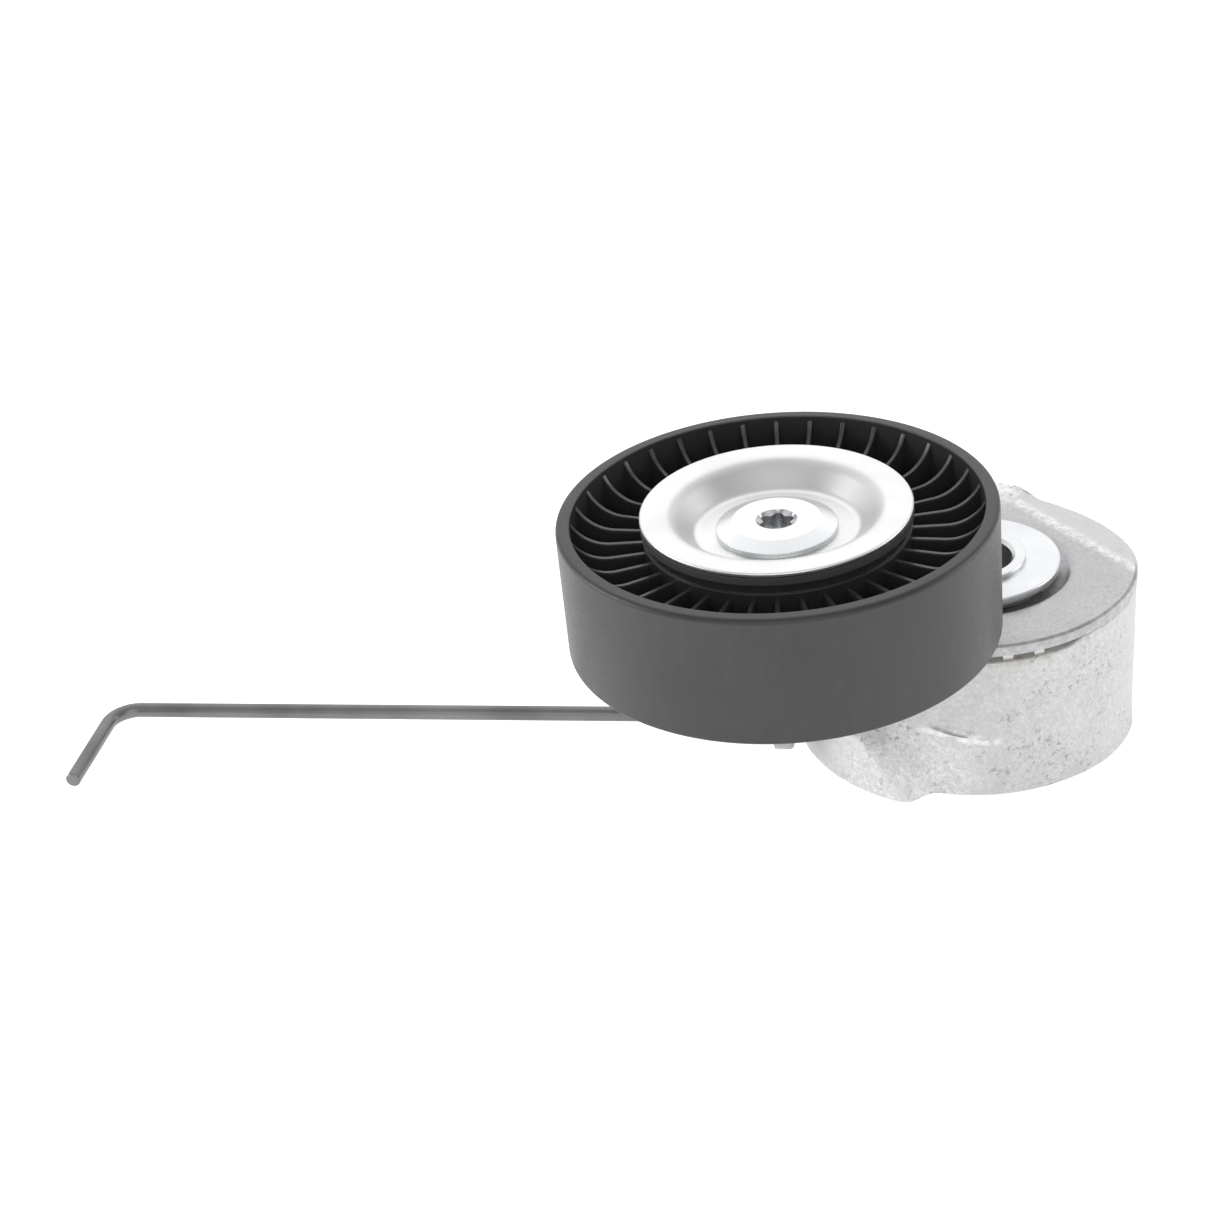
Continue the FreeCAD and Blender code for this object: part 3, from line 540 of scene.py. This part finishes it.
# Painted shade round the pulley's axis: on the cap's sloping wall, and in the recess in the bolt head.
CAP_WALL, RECESS = (15.0, 19.5, 0.5, 0.82), (-1.0, 3.75, 0.05, 0.6)
FINISH = {
    "cast_base": cast("cast_base", (0.635, 0.64, 0.632), 0.25, 0.52, 1.0, base_highlight),
    "cast_arm": cast("cast_arm", (0.57, 0.57, 0.582), 0.6, 0.42, 0.45, arm_highlight),
    "black_nylon": nylon("black_nylon"),
    "bush_plastic": polymer("bush_plastic", (0.10, 0.09, 0.07), (0.13, 0.12, 0.09), 0.5),
    "white_plastic": polymer("white_plastic", (0.78, 0.77, 0.73), (0.85, 0.84, 0.8), 0.45),
    "seal_rubber": polymer("seal_rubber", (0.02, 0.02, 0.02), (0.03, 0.03, 0.03), 0.6),
    "zinc_steel": metal("zinc_steel", (0.68, 0.69, 0.70), (0.76, 0.77, 0.78), 0.3),
    "zinc_sheet": metal("zinc_sheet", (0.8, 0.81, 0.8), (0.87, 0.88, 0.87), 0.4, 120.0, 0.0003, CAP_WALL),
    "zinc_bolt": metal("zinc_bolt", (0.8, 0.81, 0.83), (0.86, 0.87, 0.88), 0.26, 350.0, 0.0004, RECESS),
    "grey_steel": metal("grey_steel", (0.36, 0.36, 0.36), (0.45, 0.45, 0.45), 0.4),
    "bearing_steel": metal("bearing_steel", (0.6, 0.6, 0.61), (0.7, 0.7, 0.71), 0.2),
    "spring_steel": metal("spring_steel", (0.12, 0.12, 0.12), (0.18, 0.18, 0.18), 0.4),
    "dark_wire": metal("dark_wire", (0.17, 0.17, 0.17), (0.23, 0.23, 0.228), 0.36),
}


# ------------------------------------------------------------------ pulley


def rib(points, faces, heading, crest, root):
    """One thin rib with a rounded crest. crest lists (r, z), and root is the z that the rib stands on."""
    c, s = math.cos(heading), math.sin(heading)
    first = len(points)
    up = 1 if crest[0][1] > root else -1
    for r, z in crest:
        half = [(0.71, root), (0.5, z - up * 0.6), (0.42, z - up * 0.12), (0.33, z)]
        section = [(-across, height) for across, height in half] + half[::-1]
        for across, height in section:
            points.append((PULLEY[0] + r * c - across * s, PULLEY[1] + r * s + across * c, height))
    sides = skin(first, len(crest), len(section))
    faces += sides if up > 0 else [face[::-1] for face in sides]


def make_pulley():
    """The rim, web and barrel in one turned body, with ribs on both sides of the web."""
    outline = rounded([
        (LIP_RADIUS, 46.9, 0.2), (BARREL_RADIUS, 46.9, 0.5), (BARREL_RADIUS, WEB_BOTTOM, 0.7),
        (RIM_INSIDE, WEB_BOTTOM, 0.9), (RIM_INSIDE, PULLEY_FOOT, 0.45),
        (PULLEY_RADIUS, PULLEY_FOOT, 0.6), (PULLEY_RADIUS, PULLEY_TOP, 0.95), (37.4, PULLEY_TOP, 0.3),
        (RIM_INSIDE, WEB_TOP, 0.9), (24.6, WEB_TOP, 0.7), (24.4, 61.2, 0.15), (24.0, 61.2, 0.1),
        (24.0, 63.1, 0.1), (24.75, 63.1, 0.2), (24.75, 64.6, 0.1), (20.9, 64.6, 0.2), (20.9, 60.7, 0),
        (LIP_RADIUS, 60.7, 0), (LIP_RADIUS, BEARING_TOP, 0), (BEARING_RADIUS, BEARING_TOP, 0),
        (BEARING_RADIUS, BEARING_FOOT, 0), (LIP_RADIUS, BEARING_FOOT, 0)], 5)
    points, faces = turned(outline[::-1], PULLEY, 240)
    front = [(24.1, RIB_FLAT), (27.0, RIB_FLAT), (RIB_KNEE, RIB_FLAT)]
    run, rise = 7.0, 4.5
    radius = (run ** 2 + rise ** 2) / (2 * rise)
    for k in range(1, 9):
        out = run * k / 8
        front.append((RIB_KNEE + out, RIB_FLAT + radius - math.sqrt(radius * radius - out * out)))
    back = [(24.2, 48.3), (30.8, 45.4), (37.4, 42.5)]
    for k in range(RIBS):
        heading = RIB_PHASE + 2 * math.pi * k / RIBS
        rib(points, faces, heading, front, WEB_TOP - 0.3)
        rib(points, faces, heading, back, WEB_BOTTOM + 0.3)
    mesh_piece("pulley_moulding", points, faces, "pulley_wheel", "black_nylon", ["pulley"])


# ------------------------------------------------------------------ cap, bolt, washer and tube


def make_cap():
    """The dished stamping, with its edge rolled down and a crowned ring."""
    edge, hole = CAP_RADIUS - 0.15, 4.3
    turned_piece("dust_cap_stamping", [
        (hole, CAP_FOOT, 0), (15.4, CAP_FOOT, 1.6), (19.9, CAP_TOP - 1.0, 1.2), (24.5, CAP_TOP - 1.0, 0.1),
        (edge, CAP_TOP - 0.85, 0.1), (edge, CAP_TOP - 0.35, 0.3), (24.5, CAP_TOP - 0.08, 0.4),
        (23.6, CAP_TOP, 0.8), (19.3, CAP_TOP, 4.8), (14.9, CAP_FOOT + 1.0, 2.0), (hole, CAP_FOOT + 1.0, 0),
    ], PULLEY, "arm", "zinc_sheet", ["dust_cap"], 192, 7)


def six_lobes(heading):
    """Radius of the drive recess at a heading."""
    wave = math.cos(6 * (heading - math.radians(17)))
    return 2.86 + 0.42 * wave + 0.05 * (1 - wave * wave)


def make_bolt():
    """The flanged low head with its six-lobe recess, on a plain shank."""
    face, seat, shank = HEAD_TOP + 0.05, 60.8, 4.0
    mouth, floor = (3.31, face - 0.6), (3.32, 60.4)

    def wave(heading, r, z):
        if (r, z) in (mouth, floor):
            return six_lobes(heading), z
        return r, z

    flange = rounded([
        (0.6, BOLT_END, 0), (3.6, BOLT_END, 0), (shank, BOLT_END + 0.5, 0), (shank, seat, 0),
        (HEAD_RADIUS, seat, 0.15), (HEAD_RADIUS, seat + 0.95, 0.25), (8.1, face, 0.2),
        (3.75, face, 0.1)], 4)
    recess = [mouth, floor, (1.4, 60.3), (0.6, 60.1)]
    points, faces = turned((flange + recess)[::-1], PULLEY, 180, wave)
    mesh_piece("pulley_bolt_head", points, faces, "arm", "zinc_bolt", ["pulley_bolt"])


def make_pivot():
    """The flanged tube that the mounting bolt goes through, and the washer under its flange."""
    turned_piece("pivot_tube_flanged", [
        (BORE_RADIUS, TUBE_FOOT, 0.3), (TUBE_RADIUS, TUBE_FOOT, 0.3), (TUBE_RADIUS, WASHER_TOP, 0),
        (FLANGE_RADIUS, WASHER_TOP, 0.1), (FLANGE_RADIUS, TUBE_TOP, 0.3), (8.25, TUBE_TOP, 0.15),
        (BORE_RADIUS, TUBE_TOP - 0.65, 0.15)], (0, 0), "base", "zinc_steel", ["pivot_tube"])
    turned_piece("pivot_washer_plated", [
        (TUBE_RADIUS, WASHER_FOOT, 0), (WASHER_RADIUS, WASHER_FOOT, 0.2), (WASHER_RADIUS, WASHER_TOP, 0.4),
        (TUBE_RADIUS, WASHER_TOP, 0)], (0, 0), "base", "zinc_steel", ["pivot_washer"])


# ------------------------------------------------------------------ locking pin


def pin_point(along, across=0.0, z=PIN_HEIGHT):
    """A point given along the locking pin's line and to its side."""
    c, s = math.cos(PIN_HEADING), math.sin(PIN_HEADING)
    side = PIN_OFFSET - across
    return along * c + side * s, along * s - side * c, z


def make_pin():
    """The wire: a straight run, a bend and a leg, with a small chamfer round each end."""
    sides, turns = 24, 12
    bend = PIN_CORNER - PIN_BEND
    path = [(-PIN_TIP - (bend - PIN_TIP) * k / turns, 0.0) for k in range(turns + 1)]
    for k in range(1, turns + 1):
        a = math.pi / 2 * k / turns
        path.append((-bend - PIN_BEND * math.sin(a), -PIN_BEND + PIN_BEND * math.cos(a)))
    path += [(-PIN_CORNER, -PIN_BEND - (PIN_LEG - PIN_BEND) * k / 3) for k in range(1, 4)]

    rings = []
    for i, (u, v) in enumerate(path):
        before, after = path[max(i - 1, 0)], path[min(i + 1, len(path) - 1)]
        along = Vector((after[0] - before[0], after[1] - before[1])).normalized()
        rings.append((u, v, along, PIN_RADIUS))

    def end(u, v, along, chamfer, depth):
        """A flat end's rings, from its middle to the full radius. depth is how far in that is."""
        return [(u, v, along, PIN_RADIUS * 0.5), (u, v, along, PIN_RADIUS - chamfer),
                (u + along.x * depth, v + along.y * depth, along, PIN_RADIUS)]

    rings = end(*rings[0][:3], 0.12, 0.12) + rings[1:-1] + end(*rings[-1][:3], 0.14, -0.15)[::-1]
    points = []
    for u, v, along, radius in rings:
        for k in range(sides):
            a = 2 * math.pi * k / sides
            w = radius * math.cos(a)
            points.append(pin_point(u - along.y * w, v + along.x * w, PIN_HEIGHT + radius * math.sin(a)))
    faces = skin(0, len(rings), sides)
    mesh_piece("locking_pin_wire", points, faces, "pin", "dark_wire", ["locking_pin"])


# ------------------------------------------------------------------ base casting


def step(x, low, high):
    """0 up to low, going smoothly to 1 at high."""
    t = min(max((x - low) / (high - low), 0.0), 1.0)
    return t * t * (3 - 2 * t)


def lug_reach(degrees):
    """How much of the lug's reach there is at a heading, 0 to 1."""
    outside = max(degrees - LUG_END, LUG_START - degrees)
    return 0.5 * (1 - math.tanh((outside - 4.9) / 2.7))


def lug_ridge(degrees, z):
    """The crisp line along the lug's top edge, in millimetres proud of the wall."""
    height = 15.4 - 0.135 * max(degrees - 246.0, -8.0)
    faint = 0.12 * step(degrees, 224, 236) * (1 - step(degrees, 262, 272))
    proud = faint + 0.5 * step(degrees, 242, 247) * (1 - step(degrees, 252, 259))
    above = z - height
    return proud * (1 - step(above, 0.0, 0.3)) * math.exp(min(above, 0.0) / 1.6)


def foot_flare(degrees, z):
    """How far the foot spreads on the side away from the pulley."""
    return 0.5 * step(degrees, 290, 315) * (1 - step(degrees, 335, 350)) * (1 - step(z, 0.6, 2.6))


def window_drop(degrees, z):
    """How far the rim is cut down where the guide ring shows."""
    return 0.95 * step(z, 30.2, 31.25) * step(degrees, 246.5, 248.5) * (1 - step(degrees, 293.0, 300.0))


def base_wave(heading, r, z):
    """The window cut in the rim, and the lug low on one side."""
    degrees = math.degrees(heading) % 360
    if z > 30.0 and r > 29.0:
        z -= window_drop(degrees, z)
    if r < 29.5 or z > 18.0:
        return r, z
    reach = lug_reach(degrees) * (LUG_RADIUS - LUG_ROOT)
    if r > 30.2:
        low = 10.0 - 8.0 * step(degrees, 222, 238)
        r += reach * (1 - step(z, low, 16.0)) + lug_ridge(degrees, z) + foot_flare(degrees, z)
    else:
        r += reach
    return r, z


def make_base():
    """The cup, its centre boss and the hollow under its floor, with the dowel hole and the lock hole."""
    lug_top = [11.6 + 0.16 * k for k in range(27)]
    heights = [0.5, 1.2, 2.4, 3.6, 5.0, 6.5, 8.0, 9.2, 10.2, 11.0] + lug_top
    heights += [16.3, 17.0, 18.5, 20.0, 22.0, 24.0, 26.0, 28.0, 29.4, 30.2, 30.6, 30.9]
    draft = (RIM_RADIUS - FOOT_RADIUS) / (BASE_TOP - 0.5)
    wall = [(FOOT_RADIUS + draft * (z - 0.5), z) for z in heights]
    rim = [(31.42, BASE_TOP - 0.05), (31.3, BASE_TOP + 0.08), (31.1, BASE_TOP + 0.15),
           (29.9, BASE_TOP + 0.15), (29.6, BASE_TOP), (29.6, 30.2), (28.1, 30.2)]
    cup = [(CUP_RADIUS, 30.0), (CUP_RADIUS, 6.5), (27.6, 5.4), (26.5, CUP_FLOOR), (14.5, CUP_FLOOR),
           (13.4, 5.5), (BOSS_RADIUS, 6.6), (BOSS_RADIUS, 13.8), (12.8, BOSS_TOP),
           (TUBE_RADIUS, BOSS_TOP), (TUBE_RADIUS, 0.0)]
    under = [(12.0, 0.0), (17.0, 0.0), (17.6, 0.9), (26.4, 0.9), (27.0, 0.0), (29.7, 0.0),
             (30.2, 0.02), (30.55, 0.13)]
    outline = wall + rim + cup + under
    points, faces = turned(outline[::-1], (0, 0), 360, base_wave)
    piece = mesh_piece("base_casting", points, faces, "base", "cast_base", ["base_housing", "base_floor"])
    dowel = polar(32.0, 218.0)[:2]
    drilled(piece, (*dowel, -1.0), (*dowel, 6.0), 2.5)
    drilled(piece, pin_point(-38.0), pin_point(-25.0), PIN_RADIUS + 0.15)


# ------------------------------------------------------------------ arm casting


def lump_share(degrees):
    """How much of the stop lump there is at a heading, 0 to 1."""
    return step(degrees, 53.0, 63.0) * (1 - step(degrees, 91.0, 101.0))


def recess_share(degrees):
    """How deep the hub falls away beside the washer at a heading, 0 to 1."""
    return step(degrees, 175, 205) * (1 - step(degrees, 318, 350))


def uneven(x, y, size):
    """Smooth unevenness between about -1 and 1, in patches of a size in millimetres."""
    return 2 * noise.noise(Vector((x / size, y / size, size)))


def hub_wave(heading, r, z):
    """The facet that slopes off the hub's top, the lump on its rear edge and the recess's gentle part."""
    degrees = math.degrees(heading) % 360
    share = lump_share(degrees)
    if r > 27.5 and z > 31.0:
        r += LUMP_BULGE * share * step(r, 27.5, 30.5)
    if r < RECESS_RADIUS:
        gentle = 32.4 + 0.95 * step(r, 17.2, 19.3)
        if 30.9 < z < gentle:
            z += (gentle - z) * (1 - recess_share(degrees))
        return r, z
    if z < 31.9:
        return r, z
    x, y = r * math.cos(heading), r * math.sin(heading)
    beyond = x * FACET_X + y * FACET_Y - FACET_DISTANCE - 0.1 * uneven(x, y, 4.0)
    slope = (beyond + math.sqrt(beyond * beyond + 0.12)) / 2 * FACET_SLOPE
    crest = 0.09 * math.exp(-(beyond / 0.5) ** 2) * (0.6 + 0.6 * uneven(x, y, 1.5))
    top = z - HUB_SIDE
    upper = top > 1.5
    z = HUB_SIDE + top * max(HUB_TOP - slope - HUB_SIDE, 0.25) / (HUB_TOP - HUB_SIDE)
    if upper:
        z += crest + 0.03 * uneven(x, y, 5.0)
    rough = 0.14 * uneven(x, y, 1.5) + 0.06 * uneven(x, y, 0.8)
    rise = LUMP_RISE + rough if upper else LUMP_RISE * top / 2.4
    z += share * step(r, 26.6, 30.4) * rise
    return r, z


def make_hub():
    """The hub's plate, with the sleeve round the bushing and the skirt inside the cup."""
    side = [(31.0, HUB_SIDE), (31.35, 31.67), (31.62, 31.8), (HUB_RADIUS, 32.1), (HUB_RADIUS, 32.6),
            (HUB_RADIUS, 33.1), (HUB_RADIUS, 33.45), (31.64, 33.7), (31.5, 33.88), (31.28, 33.98),
            (31.0, HUB_TOP)]
    top = [(31.0 - 0.4 * k, HUB_TOP) for k in range(1, 17)]
    dish = [(24.2, 33.99), (23.4, 33.94), (22.4, 33.85), (21.2, 33.73), (20.2, 33.62), (19.5, 33.5),
            (19.1, 33.35), (18.8, 33.0), (18.55, 32.3), (18.4, 31.3), (18.1, RECESS_FLOOR),
            (17.2, RECESS_FLOOR), (16.0, RECESS_FLOOR), (12.0, RECESS_FLOOR)]
    sleeve = [(11.3, RECESS_FLOOR - 0.2), (11.3, SLEEVE_FOOT + 0.2), (11.5, SLEEVE_FOOT),
              (14.4, SLEEVE_FOOT), (SLEEVE_RADIUS, SLEEVE_FOOT + 0.2), (SLEEVE_RADIUS, PLATE_FOOT - 1.0),
              (15.2, PLATE_FOOT - 0.2), (16.0, PLATE_FOOT), (23.4, PLATE_FOOT), (24.3, PLATE_FOOT - 0.3)]
    skirt = [(24.6, PLATE_FOOT - 1.0), (24.6, SKIRT_FOOT + 0.2), (24.8, SKIRT_FOOT), (26.0, SKIRT_FOOT),
             (SKIRT_RADIUS, SKIRT_FOOT + 0.2), (SKIRT_RADIUS, 31.2), (26.5, 31.55), (27.0, HUB_SIDE),
             (28.5, HUB_SIDE), (30.0, HUB_SIDE)]
    points, faces = turned(side + top + dish + sleeve + skirt, (0, 0), 300, hub_wave)
    nodes = ["tensioner_arm", "arm_sleeve", "arm_skirt"]
    return mesh_piece("arm_casting", points, faces, "arm", "cast_arm", nodes)


def prism(points, faces, outline, low, high, taper=0.0):
    """A closed prism, whose top outline is drawn in towards its middle by the taper."""
    first, n = len(points), len(outline)
    cx, cy = sum(p[0] for p in outline) / n, sum(p[1] for p in outline) / n
    for z, pull in ((low, 0.0), (high, taper)):
        for x, y in outline:
            away = math.hypot(x - cx, y - cy)
            points.append((x + (cx - x) * pull / away, y + (cy - y) * pull / away, z))
    faces += skin(first, 2, n)


def lock_lug(points, faces):
    """The plate that hangs from the beam and holds the locking pin, with a round foot."""
    half, rows = 6.8, (-38.8, -35.0)
    outline = [(half, 33.0), (-half, 33.0)]
    for degrees in range(0, 181, 12):
        across, down = polar(half, degrees)[:2]
        outline.append((-across, PIN_HEIGHT - down))
    first = len(points)
    for along in rows:
        points += [pin_point(along, across, z) for across, z in outline]
    faces += [face[::-1] for face in skin(first, len(rows), len(outline))]


def make_beam():
    """Beam, pulley boss, spigot and lock lug, melted together so that each corner has its fillet."""
    points, faces = [], []
    beam = [polar(r, ARM_HEADING + turn)[:2] for r, turn in
            ((29, -66), (36, -50), (43, -35), (46.5, -29), (53.5, -18), (58.6, -9), (60.5, 0), (58.6, 9),
             (54.0, 13.5), (49.5, 17), (38.0, 31), (29, 47), (24, 40), (24, 0), (24, -40))]
    prism(points, faces, beam, BEAM_BOTTOM, BEAM_TOP, 0.5)
    web = [polar(r, ARM_HEADING + turn)[:2] for r, turn in ((33, -9), (48, -6), (48, 6), (33, 9))]
    prism(points, faces, web, 25.5, 33.0)
    boss = [(0, 24.0), (11.9, 24.0), (12.5, 24.6), (12.5, 46.6), (12.1, 47.0), (8.5, 47.0), (8.5, 59.2),
            (0, 59.2)]
    boss_points, boss_faces = turned(boss[::-1], PULLEY, 96)
    faces += [tuple(i + len(points) for i in face) for face in boss_faces]
    points += boss_points
    lock_lug(points, faces)

    mesh = bpy.data.meshes.new("beam")
    mesh.from_pydata([tuple(c * MM for c in p) for p in points], [], faces)
    piece = bpy.data.objects.new("beam", mesh)
    bpy.context.scene.collection.objects.link(piece)
    remesh = piece.modifiers.new("remesh", "REMESH")
    remesh.mode = "VOXEL"
    remesh.voxel_size = 0.5 * MM
    smooth = piece.modifiers.new("smooth", "SMOOTH")
    smooth.iterations = 8
    smooth.factor = 0.5
    applied(piece)
    return piece


def make_arm():
    hub = make_hub()
    combined(hub, make_beam(), "UNION")


# ------------------------------------------------------------------ the object

for make in (make_pulley, make_cap, make_bolt, make_pin, make_base, make_arm, make_pivot):
    make()

for part in frame["record"]["subparts"]:
    node = frame["nodes"][part["node"]]
    node.data.materials.clear()
    node.data.materials.append(FINISH[part["material_slot"]])
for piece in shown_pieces():
    if "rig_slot" in piece:
        piece.data.materials.clear()
        piece.data.materials.append(FINISH[piece["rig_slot"]])


# ------------------------------------------------------------------ floor, light and camera

WORLD_FRONT, WORLD_REAR, WORLD_TOP = 0.42, 0.72, 0.3
FLOOR_SIZE = 60.0
WHITE = (1, 1, 1, 1)
CAMERA_PLACE = (-0.07226, -0.40544, 0.26623)
CAMERA_TILT, CAMERA_ROLL = 0.5209, 0.1127
CAMERA_LENS = 70.65


def area_light(name, where, target, size, power):
    """A rectangular softbox, in metres and watts."""
    data = bpy.data.lights.new(name, "AREA")
    data.shape = "RECTANGLE"
    data.size, data.size_y = size
    data.energy = power
    light = bpy.data.objects.new(name, data)
    light.location = where
    light.rotation_mode = "QUATERNION"
    light.rotation_quaternion = (Vector(target) - Vector(where)).to_track_quat("-Z", "Y")
    bpy.context.scene.collection.objects.link(light)


def studio_floor():
    bpy.ops.mesh.primitive_plane_add(size=FLOOR_SIZE, location=(0, 0, 0))
    plane = bpy.context.object
    plane.name = "studio_floor"
    g = Graph("studio_floor")
    g.drive("Base_Color", g.mix(g.noise(3.0, 2), 0.78, 0.82))
    g.set(Roughness=0.9, Emission_Strength=0.6, Emission_Color=WHITE)
    plane.data.materials.append(g.material)


def studio_world():
    """A white room, brightest at the rear, with a ceiling that is paler than its front."""
    world = bpy.data.worlds.new("studio")
    world.use_nodes = True
    nodes = Nodes(world.node_tree)
    background = nodes.tree.nodes["Background"]
    background.inputs["Color"].default_value = WHITE
    split = nodes.add("ShaderNodeSeparateXYZ")
    nodes.join(nodes.add("ShaderNodeTexCoord").outputs["Generated"], split.inputs["Vector"])
    rearward, upward = split.outputs["Y"], split.outputs["Z"]
    rear = nodes.both(nodes.span(rearward, -0.15, 0.75, 0.0, WORLD_REAR),
                      nodes.span(upward, -0.25, 0.4, 0.0, 1.0))
    above = nodes.span(upward, 0.6, 1.0, 0.0, WORLD_TOP)
    strength = nodes.maths("ADD", nodes.maths("ADD", rear, above), WORLD_FRONT)
    nodes.join(strength, background.inputs["Strength"])
    bpy.context.scene.world = world


def softboxes():
    area_light("rear_softbox", (0.0, 0.9, 0.6), (0, 0, 0), (1.2, 0.6), 0.35)
    area_light("left_softbox", (-0.9, 0.05, 0.25), (-0.05, 0, 0.03), (0.5, 0.5), 3.0)
    area_light("right_softbox", (0.9, 0.05, 0.25), (0, 0, 0.03), (0.5, 0.5), 1.75)
    area_light("front_softbox", (-0.1, -0.95, 0.5), (0, 0, 0.03), (1.2, 0.8), 3.0)


def camera():
    """Looks along +Y, tilted down and rolled a little."""
    forward = Vector((0, math.cos(CAMERA_TILT), -math.sin(CAMERA_TILT)))
    across = Vector((1, 0, 0))
    down = forward.cross(across)
    right = math.cos(CAMERA_ROLL) * across + math.sin(CAMERA_ROLL) * down
    below = -math.sin(CAMERA_ROLL) * across + math.cos(CAMERA_ROLL) * down
    data = bpy.data.cameras.new("camera")
    data.lens, data.sensor_width = CAMERA_LENS, 36.0
    data.clip_start, data.clip_end = 0.01, 100
    eye = bpy.data.objects.new("camera", data)
    turn = Matrix((right, -below, -forward)).transposed()
    eye.matrix_world = Matrix.Translation(CAMERA_PLACE) @ turn.to_4x4()
    bpy.context.scene.collection.objects.link(eye)
    bpy.context.scene.camera = eye


studio_floor()
studio_world()
softboxes()
camera()
bpy.context.scene.view_settings.view_transform = "Standard"
